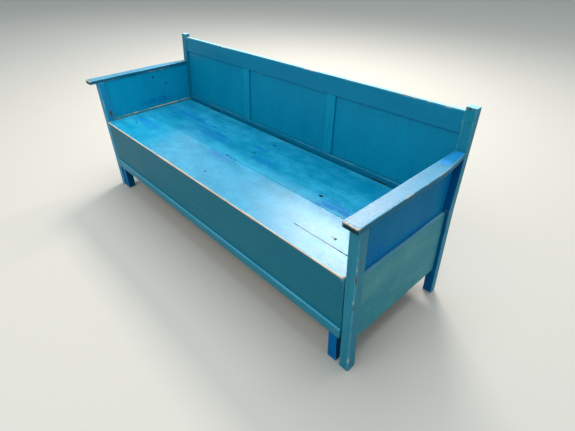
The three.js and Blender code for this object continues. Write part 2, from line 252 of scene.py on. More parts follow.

# Edge wear: paint rubbed thin and paler near an edge, partly real wear and partly a painted highlight
# along the edges, and chipped off to the wood at it.
wear_group, given, wanted = new_group(
    "edge_wear",
    [("Vector", "NodeSocketVector", (0, 0, 0)), ("Edge", "NodeSocketFloat", 0)],
    [("Bare", "NodeSocketFloat"), ("Rubbed_and_highlight", "NodeSocketFloat")],
)
chips = cloud(wear_group, given["Vector"], (34, 60, 60), 6, 0.7)
runs = cloud(wear_group, given["Vector"], (5, 9, 9), 2)
ragged = calculate(wear_group, "ADD", chips, runs)
reach = calculate(wear_group, "ADD", given["Edge"], calculate(wear_group, "MULTIPLY", ragged, 1.1))
near = between(wear_group, given["Edge"], 0.02, 0.2)
for output, low, high in (("Bare", 1.66, 1.76), ("Rubbed_and_highlight", 1.24, 1.62)):
    mask = calculate(wear_group, "MULTIPLY", between(wear_group, reach, low, high), near)
    wear_group.links.new(mask, wanted[output])

# Age marks: small dark specks and pits, and soft blotches where the paint has dulled.
marks_group, given, wanted = new_group(
    "age_marks",
    [("Vector", "NodeSocketVector", (0, 0, 0)), ("Share", "NodeSocketFloat", 0.1)],
    [("Specks", "NodeSocketFloat"), ("Blotches", "NodeSocketFloat"), ("Mottle", "NodeSocketFloat")],
)
inputs = {"Vector": given["Vector"], "Scale": 95.0}
cells = place(marks_group, "ShaderNodeTexVoronoi", inputs).outputs
chance = place(marks_group, "ShaderNodeSeparateColor", {0: cells["Color"]}).outputs
size = calculate(marks_group, "MULTIPLY", chance[1], 0.3)
dot = calculate(marks_group, "LESS_THAN", cells["Distance"], size)
chosen = calculate(marks_group, "LESS_THAN", chance[0], given["Share"])
marks_group.links.new(calculate(marks_group, "MULTIPLY", dot, chosen), wanted["Specks"])
marks_group.links.new(cloud(marks_group, given["Vector"], (9, 14, 14), 5, 0.62), wanted["Blotches"])
marks_group.links.new(cloud(marks_group, given["Vector"], (110, 240, 240), 3, 0.6), wanted["Mottle"])

# A patch of a given size round a given centre, with an outline ragged along the grain.
STREAKY = (13, 48, 48)
SPLINTERED = (150, 150, 110)
patch_group, given, wanted = new_group(
    "worn_patch",
    [
        ("Vector", "NodeSocketVector", (0, 0, 0)),
        ("Centre", "NodeSocketVector", (0, 0, 0)),
        ("Size", "NodeSocketVector", (1, 1, 1)),
        ("Ragged", "NodeSocketFloat", 1.0),
        ("Stretch", "NodeSocketVector", STREAKY),
    ],
    [("Mask", "NodeSocketFloat")],
)
inputs = {0: given["Vector"], 1: given["Centre"]}
offset = place(patch_group, "ShaderNodeVectorMath", inputs, operation="SUBTRACT").outputs[0]
inputs = {0: offset, 1: given["Size"]}
scaled = place(patch_group, "ShaderNodeVectorMath", inputs, operation="DIVIDE").outputs[0]
away = place(patch_group, "ShaderNodeVectorMath", {0: scaled}, operation="LENGTH").outputs["Value"]
streaks = cloud(patch_group, given["Vector"], given["Stretch"], 5, 0.68)
streaks = calculate(patch_group, "SUBTRACT", streaks, 0.5)
rough = calculate(patch_group, "MULTIPLY", streaks, given["Ragged"])
reach = calculate(patch_group, "ADD", away, rough)
patch_group.links.new(between(patch_group, reach, 1.1, 0.7), wanted["Mask"])

ALONG_X = (0, 0, 0)
ALONG_Y = (0, 0, math.radians(90))
ALONG_Z = (0, math.radians(90), 0)


def patch_mask(tree, where, patches, stretch=STREAKY):
    """One mask of several patches, each (centre, size, raggedness) in metres."""
    whole = 0.0
    for centre, size, ragged in patches:
        inputs = {"Vector": where, "Centre": centre, "Size": size, "Ragged": ragged, "Stretch": stretch}
        one = place(tree, "ShaderNodeGroup", inputs, node_tree=patch_group).outputs["Mask"]
        whole = calculate(tree, "MAXIMUM", one, whole)
    return whole


def old_paint(
    name,
    paint,
    faded,
    grain,
    shine=0.42,
    gloss=0.2,
    fading=0.5,
    lines=0.35,
    dirt=0.08,
    crust=0.4,
    timbers=(BARE_WOOD, WORN_WOOD),
    patches=(),
    patch_paint=None,
    chips=(),
    chip_paint=CHIPPED_WOOD,
):
    """Oil paint on wood: faded in bands, brushed along the grain, chipped at the edges, and
    crusted in fine grains. Patches take patch_paint: mostly a deep colour that the paint has kept,
    and on the ledges a painted highlight. Chips are knocked off."""
    material = bpy.data.materials.new(name)
    material.use_nodes = True
    tree = material.node_tree
    shader = tree.nodes["Principled BSDF"]
    shader.inputs["Specular IOR Level"].default_value = gloss
    where = place(tree, "ShaderNodeTexCoord").outputs["Object"]
    along = place(tree, "ShaderNodeMapping", {"Vector": where, "Rotation": grain}).outputs[0]
    edge = place(tree, "ShaderNodeAttribute", attribute_name="edge_wear").outputs["Fac"]
    wood = place(tree, "ShaderNodeGroup", {"Vector": along}, node_tree=grain_group).outputs
    wear = place(tree, "ShaderNodeGroup", {"Vector": along, "Edge": edge}, node_tree=wear_group).outputs
    inputs = {"Vector": along, "Share": dirt}
    marks = place(tree, "ShaderNodeGroup", inputs, node_tree=marks_group).outputs

    fade = between(tree, wood["Bands"], 0.3, 0.7, 0.5 - fading / 2, 0.5 + fading / 2)
    blotch = between(tree, marks["Blotches"], 0.35, 0.68, -fading / 3, fading / 3)
    fade = calculate(tree, "ADD", fade, blotch)
    colour = mix(tree, fade, paint, faded)
    deep = (*[0.62 * part for part in paint[:3]], 1)
    colour = mix(tree, between(tree, wood["Lines"], 0.52, 0.75, 0, lines), colour, deep)
    colour = mix(tree, between(tree, marks["Mottle"], 0.5, 0.68, 0, 0.4 * crust), colour, deep)
    if patches:
        streaks = between(tree, wood["Lines"], 0.38, 0.58, 0.3, 1)
        kept = calculate(tree, "MULTIPLY", patch_mask(tree, where, patches), streaks)
        colour = mix(tree, kept, colour, patch_paint)
    # Near edges the paint goes paler: partly chalky rubbed paint, partly a painted highlight.
    rubbed_and_highlight_paint = (*[0.65 * part + 0.35 * chalk for part, chalk in zip(faded[:3], CHALKY_HIGHLIGHT_BLUE)], 1)
    colour = mix(tree, calculate(tree, "MULTIPLY", wear["Rubbed_and_highlight"], 0.5), colour, rubbed_and_highlight_paint)
    timber = mix(tree, between(tree, wood["Lines"], 0.4, 0.66), *timbers)
    colour = mix(tree, wear["Bare"], colour, timber)
    if chips:
        knocked = patch_mask(tree, where, chips, SPLINTERED)
        colour = mix(tree, knocked, colour, chip_paint)
    colour = mix(tree, calculate(tree, "MULTIPLY", marks["Specks"], 0.75), colour, GRIME)
    tree.links.new(colour, shader.inputs["Base Color"])

    dull = between(tree, marks["Blotches"], 0.3, 0.7, shine - 0.025, shine + 0.035)
    dull = calculate(tree, "ADD", dull, between(tree, wood["Strokes"], 0.35, 0.65, -0.03, 0.03))
    dull = calculate(tree, "ADD", dull, calculate(tree, "MULTIPLY", wear["Bare"], 0.35))
    dull = calculate(tree, "ADD", dull, between(tree, marks["Mottle"], 0.35, 0.7, -0.02, 0.08))
    if patches:
        dull = calculate(tree, "ADD", dull, calculate(tree, "MULTIPLY", kept, 0.1))
    tree.links.new(dull, shader.inputs["Roughness"])

    height = calculate(tree, "MULTIPLY", wood["Strokes"], 0.35)
    height = calculate(tree, "ADD", height, calculate(tree, "MULTIPLY", wood["Lines"], 0.5))
    height = calculate(tree, "ADD", height, calculate(tree, "MULTIPLY", marks["Mottle"], 3 * crust))
    height = calculate(tree, "SUBTRACT", height, calculate(tree, "MULTIPLY", wear["Bare"], 0.8))
    height = calculate(tree, "SUBTRACT", height, marks["Specks"])
    bump = place(tree, "ShaderNodeBump", {"Height": height, "Strength": 0.35, "Distance": 0.0006})
    tree.links.new(bump.outputs[0], shader.inputs["Normal"])
    return material


def board(low, high):
    """A plain board, from its lowest corner to its highest."""
    bm = bmesh.new()
    bmesh.ops.create_cube(bm, size=1)
    bmesh.ops.scale(bm, vec=high - low, verts=bm.verts)
    bmesh.ops.translate(bm, vec=(low + high) / 2, verts=bm.verts)
    return bm


def span(points):
    """The lowest and highest corners of the box round some points."""
    sorted_out = list(zip(*points))
    return Vector(map(min, sorted_out)), Vector(map(max, sorted_out))


def size_of(verts):
    return span([vert.co for vert in verts])


def ease_edges(bm, ease, reach=REACH):
    """Rounds every sharp edge, and marks how near each point is to an edge."""
    mark = bm.verts.layers.float.new("edge_wear")
    sharp = [edge for edge in bm.edges if edge.calc_face_angle(0) > SAWN_EDGE]
    rounded = bmesh.ops.bevel(
        bm,
        geom=sharp,
        offset=ease,
        affect="EDGES",
        segments=3,
        profile=0.5,
        material=-1,
        clamp_overlap=True,
    )
    for vert in bm.verts:
        vert[mark] = 1
    narrow_faces = set(rounded["faces"])
    for face in [face for face in bm.faces if face not in narrow_faces]:
        low, high = size_of(face.verts)
        narrow = sorted(high - low)[1]
        margin = min(reach, 0.3 * narrow)
        bmesh.ops.inset_individual(bm, faces=[face], thickness=margin, use_even_offset=True)
        for vert in face.verts:
            vert[mark] = 0


SIDES = (("left", 0, 0), ("right", 0, 1), ("front", 1, 0), ("rear", 1, 1), ("bottom", 2, 0), ("top", 2, 1))


def wear_down(bm, worn, step=0.04, depth=0.0007):
    """Sets how worn each edge is, and takes the worn edges down unevenly, as hands and years do.
    worn gives a share for edges by the sides they lie between, and "" gives it for the rest."""
    mark = bm.verts.layers.float["edge_wear"]
    ends = size_of(bm.verts)
    long_axis = max(range(3), key=lambda axis: ends[1][axis] - ends[0][axis])
    across = Vector([float(axis == long_axis) for axis in range(3)])
    length = ends[1][long_axis] - ends[0][long_axis]
    cuts = int(length / step)
    for i in range(1, cuts):
        middle = across * (ends[0][long_axis] + length * i / cuts)
        geometry = bm.verts[:] + bm.edges[:] + bm.faces[:]
        bmesh.ops.bisect_plane(bm, geom=geometry, plane_co=middle, plane_no=across)
    bm.normal_update()
    for vert in bm.verts:
        beside = {side for side, axis, end in SIDES if abs(vert.co[axis] - ends[end][axis]) < 2 * REACH}
        share = max(amount for edge, amount in worn.items() if set(edge.split()) <= beside)
        lowered = 0.5 + 0.5 * noise.noise(vert.co * HOLLOWS)
        vert.co -= vert.normal * depth * share * lowered * (vert[mark] > 0.5)
        vert[mark] *= share


def finish(name, bm, material, body, stands_for=None, turned=None):
    """Makes a piece of a bmesh, gives it its material, and fixes it to its body."""
    bmesh.ops.recalc_face_normals(bm, faces=bm.faces)
    for face in bm.faces:
        face.smooth = True
    for edge in bm.edges:
        edge.smooth = edge.calc_face_angle(0) < ROUNDED_EDGE
    if turned is not None:
        bmesh.ops.transform(bm, matrix=turned, verts=bm.verts)
    mesh = bpy.data.meshes.new(name)
    bm.to_mesh(mesh)
    bm.free()
    mesh.materials.append(material)
    piece = bpy.data.objects.new(name, mesh)
    shown.link(piece)
    even = piece.modifiers.new("flat_faces_stay_flat", "WEIGHTED_NORMAL")
    even.keep_sharp = True
    even.weight = 100
    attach(piece, body)
    if stands_for:
        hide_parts(stands_for)
    return piece


def repaint(piece, paint, chosen):
    """Gives another paint to the faces that a test picks."""
    piece.data.materials.append(paint)
    last = len(piece.data.materials) - 1
    for face in piece.data.polygons:
        if chosen(face):
            face.material_index = last


post_low, post_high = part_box("right_front_post")
post_paint = old_paint(
    "post_paint",
    screen_colour(8, 118, 146),
    screen_colour(34, 134, 158),
    ALONG_Z,
    shine=0.45,
    dirt=0.06,
    chips=[
        ((post_high.x, post_low.y, 0.446), (0.004, 0.005, 0.018), 2.2),
        ((post_high.x, post_low.y + 0.016, 0.512), (0.003, 0.003, 0.012), 2.2),
        ((post_high.x, post_low.y, 0.642), (0.006, 0.007, 0.009), 1.8),
        ((post_high.x, post_low.y, 0.330), (0.003, 0.003, 0.020), 2.2),
    ],
)
# The left post: a lighter, bluer copy of the post paint, which is painted light.
left_post_painted_light = old_paint(
    "left_post_painted_light",
    screen_colour(4, 134, 178),
    screen_colour(26, 148, 190),
    ALONG_Z,
    shine=0.45,
    gloss=0.1,
    dirt=0.06,
    chips=[((-post_low.x, post_low.y + 0.029, 0.474), (0.006, 0.009, 0.022), 1.8)],
)
for node, paint, worn in (
    ("left_front_post", left_post_painted_light, {"": 0.26, "right front": 0.4}),
    ("right_front_post", post_paint, {"": 0.26, "right front": 0.42}),
):
    bm = board(*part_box(node))
    ease_edges(bm, POST_EASE)
    wear_down(bm, worn, step=0.03)
    finish(node + "_timber", bm, paint, "frame", node)

# ---------------------------------------------------------------------------------------
# Rear posts. One length each, straight to the seat and leaning back above it, sawn and
# planed from a plank, with flat tops that stand a little above the rail.
# ---------------------------------------------------------------------------------------
REAR_POST_DEPTH = 0.032
BEND_HEIGHT = 0.430
UNDER_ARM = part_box("right_arm")[0].z


def sawn_outline(points, thickness):
    """A board sawn to an outline: the flat outline, and the way and distance it is thick."""
    bm = bmesh.new()
    face = bm.faces.new([bm.verts.new(point) for point in points])
    grown = bmesh.ops.extrude_face_region(bm, geom=[face])["geom"]
    moved = [item for item in grown if isinstance(item, bmesh.types.BMVert)]
    bmesh.ops.translate(bm, vec=thickness, verts=moved)
    bmesh.ops.recalc_face_normals(bm, faces=bm.faces)
    return bm


# Top faces: sun-bleached paint, made paler still as a painted highlight where the light falls.
bleached_paint_with_painted_highlight = old_paint(
    "bleached_paint_with_painted_highlight",
    screen_colour(110, 190, 216),
    screen_colour(160, 216, 232),
    ALONG_X,
    shine=0.4,
    gloss=0.4,
)
# Rear posts' front faces below the arms: deeper paint, partly less faded in shelter and partly painted
# shade under the bench.
sheltered_paint_with_painted_shade = old_paint(
    "sheltered_paint_with_painted_shade",
    screen_colour(0, 84, 140),
    screen_colour(0, 94, 150),
    ALONG_Z,
    shine=0.45,
    gloss=0.03,
    dirt=0.03,
)
low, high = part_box("right_rear_post")
rear_post_paint = old_paint(
    "rear_post_paint",
    screen_colour(4, 120, 150),
    screen_colour(26, 134, 160),
    ALONG_Z,
    shine=0.45,
    gloss=0.15,
    dirt=0.06,
    chips=[((low.x + 0.015, high.y - REAR_POST_DEPTH, high.z - 0.006), (0.006, 0.006, 0.007), 0.8)],
)
for node in ("left_rear_post", "right_rear_post"):
    low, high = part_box(node)
    outline = (
        (low.y, low.z),
        (low.y + REAR_POST_DEPTH, low.z),
        (low.y + REAR_POST_DEPTH, BEND_HEIGHT),
        (high.y, high.z),
        (high.y - REAR_POST_DEPTH, high.z),
        (low.y, BEND_HEIGHT),
    )
    bm = sawn_outline([(low.x, y, z) for y, z in outline], (high.x - low.x, 0, 0))
    ease_edges(bm, POST_EASE)
    wear_down(bm, {"": 0.26, "top": 0.4}, step=0.03)
    post = finish(node + "_timber", bm, rear_post_paint, "frame", node)
    # Sun-bleached paint and painted highlight on the post's top face.
    repaint(post, bleached_paint_with_painted_highlight, lambda face: face.normal.z > 0.8)
    # Painted shade, with sheltered paint, on the front faces below the arms.
    repaint(post, sheltered_paint_with_painted_shade, lambda face: face.normal.y < -0.8 and face.center.z < UNDER_ARM)

# ---------------------------------------------------------------------------------------
# Arms. A flat board with a rounded nose on each front post, butted to the rear post, its
# outer edge sweeping in at the rear. Their tops are sun-bleached and their edges bare.
# ---------------------------------------------------------------------------------------
ARM_SWEEP = 0.200  # length of the sweep in front of the rear post
ARM_SWEEP_STEPS = 8
NOSE_INNER_ROUND = 0.006
NOSE_OUTER_ROUND = 0.005
POST_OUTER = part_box("right_front_post")[1].x
ARM_TIMBERS = screen_colour(212, 194, 172), screen_colour(112, 88, 72)
arm_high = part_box("right_arm")[1]
arm_paint = old_paint(
    "arm_paint",
    screen_colour(10, 120, 164),
    screen_colour(60, 156, 196),
    ALONG_Y,
    shine=0.34,
    gloss=0.45,
    dirt=0.16,
    crust=1.3,
    timbers=ARM_TIMBERS,
    patches=[
        ((POST_OUTER - 0.02, arm_high.y - 0.02, arm_high.z), (0.05, 0.045, 0.02), 2.6),
        ((POST_OUTER - 0.03, arm_high.y - 0.10, arm_high.z), (0.03, 0.040, 0.02), 4.2),
    ],
    patch_paint=screen_colour(0, 138, 218),
)
# Sides of the arms: a darker copy of the arm paint, which is painted shade.
arm_side_painted_shade = old_paint(
    "arm_side_painted_shade",
    screen_colour(4, 98, 128),
    screen_colour(26, 112, 138),
    ALONG_Y,
    shine=0.45,
    gloss=0.08,
    timbers=ARM_TIMBERS,
)
# Front face of the arm's nose: near-black paint, which is painted shade under its worn top edge.
nose_painted_shade = old_paint(
    "nose_painted_shade",
    screen_colour(0, 44, 58),
    screen_colour(2, 60, 76),
    ALONG_X,
    gloss=0.08,
    timbers=ARM_TIMBERS,
)


def round_corner(bm, x, y, radius):
    """Rounds the upright corner that stands nearest to a place."""
    upright = [e for e in bm.edges if abs(e.verts[0].co.z - e.verts[1].co.z) > 0.005]
    corner = min(upright, key=lambda e: (e.verts[0].co.xy - Vector((x, y))).length)
    bmesh.ops.bevel(
        bm, geom=[corner], offset=radius, affect="EDGES", segments=5, profile=0.5, material=-1
    )


for side, node in ((-1, "left_arm"), (1, "right_arm")):
    low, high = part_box(node)
    inner = low.x if side > 0 else high.x
    outer = high.x if side > 0 else low.x
    outline = [(inner, high.y), (inner, low.y), (outer, low.y)]
    start = Vector((outer, high.y - ARM_SWEEP))
    pull = Vector((outer, high.y - 0.6 * ARM_SWEEP))
    stop = Vector((side * POST_OUTER, high.y))
    for i in range(ARM_SWEEP_STEPS + 1):
        t = i / ARM_SWEEP_STEPS
        outline.append((1 - t) ** 2 * start + 2 * t * (1 - t) * pull + t**2 * stop)
    bm = sawn_outline([(x, y, low.z) for x, y in outline], (0, 0, high.z - low.z))
    round_corner(bm, inner, low.y, NOSE_INNER_ROUND)
    round_corner(bm, outer, low.y, NOSE_OUTER_ROUND)
    ease_edges(bm, ease=0.0028, reach=0.004)
    outer_edge = "top right" if side > 0 else "top left"
    under_edge = "bottom left" if side > 0 else "bottom right"
    wear_down(bm, {"": 0.2, "top": 0.4, outer_edge: 0.56, under_edge: 0.5, "front top": 0.74})
    arm = finish(node + "_timber", bm, arm_paint, "frame", node)
    # Painted shade on the arms' sides.
    repaint(arm, arm_side_painted_shade, lambda face: face.normal.z < 0.5)
    # Painted shade on the nose's front face.
    repaint(arm, nose_painted_shade, lambda face: face.normal.z < 0.5 and face.normal.y < -0.7)

# ---------------------------------------------------------------------------------------
# Side boards and side panels. A wide board closes each end of the box; above it a thin
# panel stands in its rebate and fills the end up to the arm. The insides are left bare.
# ---------------------------------------------------------------------------------------
BOX_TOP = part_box("front_lid_board")[0].z
LEAN = math.radians(4)
FIT = 0.0003  # space left between pieces that meet


def bare_pine(name, grain, light, dark):
    """Old unpainted pine: two browns in bands, with darker lines and a few knots."""
    material = bpy.data.materials.new(name)
    material.use_nodes = True
    tree = material.node_tree
    shader = tree.nodes["Principled BSDF"]
    where = place(tree, "ShaderNodeTexCoord").outputs["Object"]
    along = place(tree, "ShaderNodeMapping", {"Vector": where, "Rotation": grain}).outputs[0]
    edge = place(tree, "ShaderNodeAttribute", attribute_name="edge_wear").outputs["Fac"]
    wood = place(tree, "ShaderNodeGroup", {"Vector": along}, node_tree=grain_group).outputs
    marks = place(tree, "ShaderNodeGroup", {"Vector": along, "Share": 0.05}, node_tree=marks_group).outputs
    colour = mix(tree, between(tree, wood["Bands"], 0.3, 0.7), light, dark)
    line = (*[0.5 * part for part in dark[:3]], 1)
    colour = mix(tree, between(tree, wood["Lines"], 0.45, 0.7, 0, 0.7), colour, line)
    inputs = {"Vector": along, "Scale": 3.4, "Randomness": 1.0}
    knots = place(tree, "ShaderNodeTexVoronoi", inputs).outputs["Distance"]
    colour = mix(tree, between(tree, knots, 0.05, 0.02), colour, DARK_WOOD)
    colour = mix(tree, between(tree, edge, 0.2, 1.0, 0, 0.35), colour, line)
    colour = mix(tree, calculate(tree, "MULTIPLY", marks["Specks"], 0.5), colour, DARK_WOOD)
    tree.links.new(colour, shader.inputs["Base Color"])
    tree.links.new(between(tree, wood["Bands"], 0.3, 0.7, 0.62, 0.8), shader.inputs["Roughness"])
    height = calculate(tree, "ADD", wood["Lines"], calculate(tree, "MULTIPLY", wood["Strokes"], 0.6))
    bump = place(tree, "ShaderNodeBump", {"Height": height, "Strength": 0.4, "Distance": 0.0008})
    tree.links.new(bump.outputs[0], shader.inputs["Normal"])
    return material


PINE = screen_colour(196, 158, 108), screen_colour(168, 126, 80)
pine_across = bare_pine("pine_grain_along_the_settle", ALONG_X, *PINE)
pine_deep = bare_pine("pine_grain_front_to_back", ALONG_Y, *PINE)


def line_the_box(piece, timber, inward):
    """Leaves a board's face bare where it lines the box, below the seat's underside."""
    repaint(piece, timber, lambda face: face.normal.dot(inward) > 0.5 and face.center.z < BOX_TOP)


def cut_at_box_top(bm):
    """Divides a board's faces at the underside of the seat, where its paint begins."""
    geometry = bm.verts[:] + bm.edges[:] + bm.faces[:]
    bmesh.ops.bisect_plane(bm, geom=geometry, plane_co=(0, 0, BOX_TOP), plane_no=(0, 0, 1))


side_paint = old_paint(
    "side_board_paint",
    screen_colour(30, 132, 150),
    screen_colour(76, 154, 160),
    ALONG_Y,
    shine=0.5,
    fading=0.8,
    lines=0.12,
    dirt=0.05,
)
SIDE_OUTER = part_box("right_side_board")[1].x
panel_low, panel_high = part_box("right_side_panel")
PANEL_HALF = (panel_high - panel_low) / 2
panel_foot = (panel_high.x, 0, panel_low.z)
panel_rear = (panel_high.x, panel_high.y - 0.004, panel_high.z - PANEL_HALF.z)
panel_corner = (panel_high.x, panel_low.y, panel_low.z)
panel_paint = old_paint(
    "side_panel_paint",
    screen_colour(0, 112, 164),
    screen_colour(8, 124, 172),
    ALONG_Z,
    shine=0.45,
    gloss=0.03,
    fading=0.7,
    dirt=0.03,
    patches=[
        (panel_foot, (0.02, 1.1 * PANEL_HALF.y, 0.024), 0.2),
        (panel_rear, (0.02, 0.036, 1.3 * PANEL_HALF.z), 0.3),
        (panel_corner, (0.02, 0.16, 0.12), 1.2),
    ],
    patch_paint=screen_colour(0, 110, 186),
)
PANEL_DENTS = [
    ((-panel_low.x, panel_low.y + 0.290, 0.621), (0.004, 0.005, 0.009), 1.4),
    ((-panel_low.x, panel_low.y + 0.368, 0.568), (0.004, 0.005, 0.008), 1.4),
]
# Inner faces of the side panels: a lighter copy of the panel paint, which is painted light.
inner_panel_painted_light = old_paint(
    "inner_panel_painted_light",
    screen_colour(0, 146, 184),
    screen_colour(0, 158, 198),
    ALONG_Z,
    shine=0.38,
    dirt=0.04,
    patches=[((-panel_low.x, panel_low.y + 0.300, 0.476), (0.02, 0.11, 0.020), 4.0)],
    patch_paint=screen_colour(0, 124, 176),
    chips=PANEL_DENTS,
    chip_paint=GRIME,
)
# Top faces of the side boards: a deeper blue, with a pale strip along the outer edge that is a painted
# highlight.
ledge_paint_with_painted_highlight = old_paint(
    "ledge_paint_with_painted_highlight",
    screen_colour(0, 110, 152),
    screen_colour(6, 120, 160),
    ALONG_Y,
    gloss=0.1,
    patches=[((side * SIDE_OUTER, 0, panel_low.z), (0.013, 9, 0.02), 0.5) for side in (-1, 1)],
    patch_paint=screen_colour(126, 190, 210),
)
for side, word in ((-1, "left"), (1, "right")):
    panel_low, panel_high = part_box(word + "_side_panel")
    node = word + "_side_board"
    low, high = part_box(node)
    inner, outer = (low.x, high.x) if side > 0 else (high.x, low.x)
    lip = panel_low.x - FIT if side > 0 else panel_high.x + FIT
    ledge = panel_low.z - FIT
    outline = (
        (inner, low.z),
        (outer, low.z),
        (outer, ledge),
        (lip, ledge),
        (lip, high.z),
        (inner, high.z),
    )
    bm = sawn_outline([(x, low.y, z) for x, z in outline], (0, high.y - low.y, 0))
    ease_edges(bm, ease=0.0016)
    wear_down(bm, {"": 0.2, "top": 0.6})
    cut_at_box_top(bm)
    side_board = finish(node + "_timber", bm, side_paint, "frame", node)
    # Painted highlight along the ledge's outer edge.
    repaint(side_board, ledge_paint_with_painted_highlight, lambda face: face.normal.z > 0.8)
    line_the_box(side_board, pine_deep, Vector((-side, 0, 0)))

    node = word + "_side_panel"
    low, high = panel_low, panel_high
    upright_rear = high.y - (high.z - BEND_HEIGHT) * math.tan(LEAN)
    outline = (
        (low.y, low.z),
        (upright_rear, low.z),
        (upright_rear, BEND_HEIGHT),
        (high.y, high.z),
        (low.y, high.z),
    )
    bm = sawn_outline([(low.x, y, z) for y, z in outline], (high.x - low.x, 0, 0))
    ease_edges(bm, ease=0.0006)
    wear_down(bm, {"": 0.1})
    panel = finish(node + "_timber", bm, panel_paint, "frame", node)
    # Painted light on the panel's inner face.
    repaint(panel, inner_panel_painted_light, lambda face: face.normal.x * side < -0.5)

# ---------------------------------------------------------------------------------------
# The back. A wide lower board closes the box and shows a strip above the seat; a rail,
# two muntins and three thin panels stand in the lean of the rear posts above it.
# ---------------------------------------------------------------------------------------
low_back_paint = old_paint(
    "low_back_paint",
    screen_colour(0, 112, 150),
    screen_colour(6, 122, 158),
    ALONG_X,
    shine=0.45,
    gloss=0.1,
    dirt=0.05,
)
bm = board(*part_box("lower_back_board"))
ease_edges(bm, ease=0.002)
wear_down(bm, {"": 0.1, "front top": 0.34})
cut_at_box_top(bm)
low_back = finish(
    "lower_back_board_timber", bm, low_back_paint, "frame", "lower_back_board"
)
line_the_box(low_back, pine_across, Vector((0, -1, 0)))

bend = Vector((0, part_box("right_rear_post")[0].y, BEND_HEIGHT))
leaning = Matrix.Translation(bend) @ Matrix.Rotation(-LEAN, 4, "X") @ Matrix.Translation(-bend)

rail_paint = old_paint(
    "rail_paint",
    screen_colour(0, 120, 156),
    screen_colour(6, 132, 168),
    ALONG_X,
    shine=0.42,
    gloss=0.14,
    dirt=0.05,
)
muntin_paint = old_paint(
    "muntin_paint",
    screen_colour(0, 140, 176),
    screen_colour(2, 148, 184),
    ALONG_Z,
    shine=0.42,
    gloss=0.12,
    dirt=0.04,
)
back_panel_paint = old_paint(
    "back_panel_paint",
    screen_colour(0, 132, 168),
    screen_colour(0, 142, 178),
    ALONG_Z,
    shine=0.4,
    gloss=0.12,
    dirt=0.05,
)
LEANING_BOARDS = (
    ("top_rail", rail_paint, 0.0022, {"": 0.16, "top": 0.42, "front top": 0.5}),
    ("left_muntin", muntin_paint, 0.0014, {"": 0.12}),
    ("right_muntin", muntin_paint, 0.0014, {"": 0.12}),
    ("left_back_panel", back_panel_paint, 0.0008, {"": 0.1}),
    ("middle_back_panel", back_panel_paint, 0.0008, {"": 0.1}),
    ("right_back_panel", back_panel_paint, 0.0008, {"": 0.1}),
)
for node, paint, ease, worn in LEANING_BOARDS:
    upright = [leaning.inverted() @ vert.co for vert in frame["nodes"][node].data.vertices]
    bm = board(*span(upright))
    ease_edges(bm, ease)
    wear_down(bm, worn)
    back_piece = finish(node + "_timber", bm, paint, "frame", node, turned=leaning)
    if node == "top_rail":
        # Sun-bleached paint and painted highlight on the rail's top face.
        repaint(back_piece, bleached_paint_with_painted_highlight, lambda face: face.normal.z > 0.8)

# ---------------------------------------------------------------------------------------
# The bed base in the box: two bearers, slats that lie on them, every second one fixed and
# the others tied to the drawer, and the cleats, battens and sides. All of it bare pine.
# ---------------------------------------------------------------------------------------
PLAIN_BOARDS = ("bearer", "slat", "cleat", "drawer_side", "lid_batten")
for body, members in frame["record"]["behaviour"]["bodies"].items():
    for node in members:
        if any(word in node for word in PLAIN_BOARDS):
            low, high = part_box(node)
            bm = board(low, high)
            ease_edges(bm, ease=0.0015)
            wear_down(bm, {"": 1.0}, step=0.2, depth=0.0004)
            timber = pine_across if high.x - low.x > high.y - low.y else pine_deep
            finish(node + "_timber", bm, timber, body, node)

# ---------------------------------------------------------------------------------------
# The pull-out front: a wide board between the posts with a moulding nailed along its
# foot, and a leg behind each end that carries the bed when it is drawn out.
# ---------------------------------------------------------------------------------------
front_paint = old_paint(
    "front_board_paint",
    screen_colour(6, 106, 130),
    screen_colour(26, 114, 134),
    ALONG_X,
    shine=0.5,
    gloss=0.13,
    dirt=0.04,
)
bm = board(*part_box("front_board"))
ease_edges(bm, ease=0.002)
wear_down(bm, {"": 0.12, "front top": 0.3})
front = finish("front_board_timber", bm, front_paint, "pull_out_bed", "front_board")
line_the_box(front, pine_across, Vector((0, 1, 0)))

MOULDING_ROUND = 0.006
moulding_paint = old_paint(
    "moulding_paint",
    screen_colour(12, 118, 144),
    screen_colour(34, 130, 152),
    ALONG_X,
    shine=0.42,
    dirt=0.05,
)
low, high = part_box("front_moulding")
bm = board(low, high)
upper_front = [
    e for e in bm.edges if all(v.co.y < low.y + 0.001 and v.co.z > high.z - 0.001 for v in e.verts)
]
bmesh.ops.bevel(
    bm, geom=upper_front, offset=MOULDING_ROUND, affect="EDGES", segments=6, profile=0.5, material=-1
)
ease_edges(bm, ease=0.0012, reach=0.005)
wear_down(bm, {"": 0.16, "front top": 0.34})
moulding = finish(
    "front_moulding_timber", bm, moulding_paint, "pull_out_bed", "front_moulding"
)
# The moulding's rounded top faces: a lighter copy of its paint, which is a painted highlight.
moulding_top_painted_highlight = old_paint(
    "moulding_top_painted_highlight", screen_colour(44, 152, 190), screen_colour(84, 178, 212), ALONG_X, shine=0.42
)
repaint(moulding, moulding_top_painted_highlight, lambda face: face.normal.z > 0.4)

leg_paint = old_paint(
    "drawer_leg_paint",
    screen_colour(0, 96, 160),
    screen_colour(0, 106, 168),
    ALONG_Z,
    shine=0.45,
    gloss=0.02,
    dirt=0.04,
)
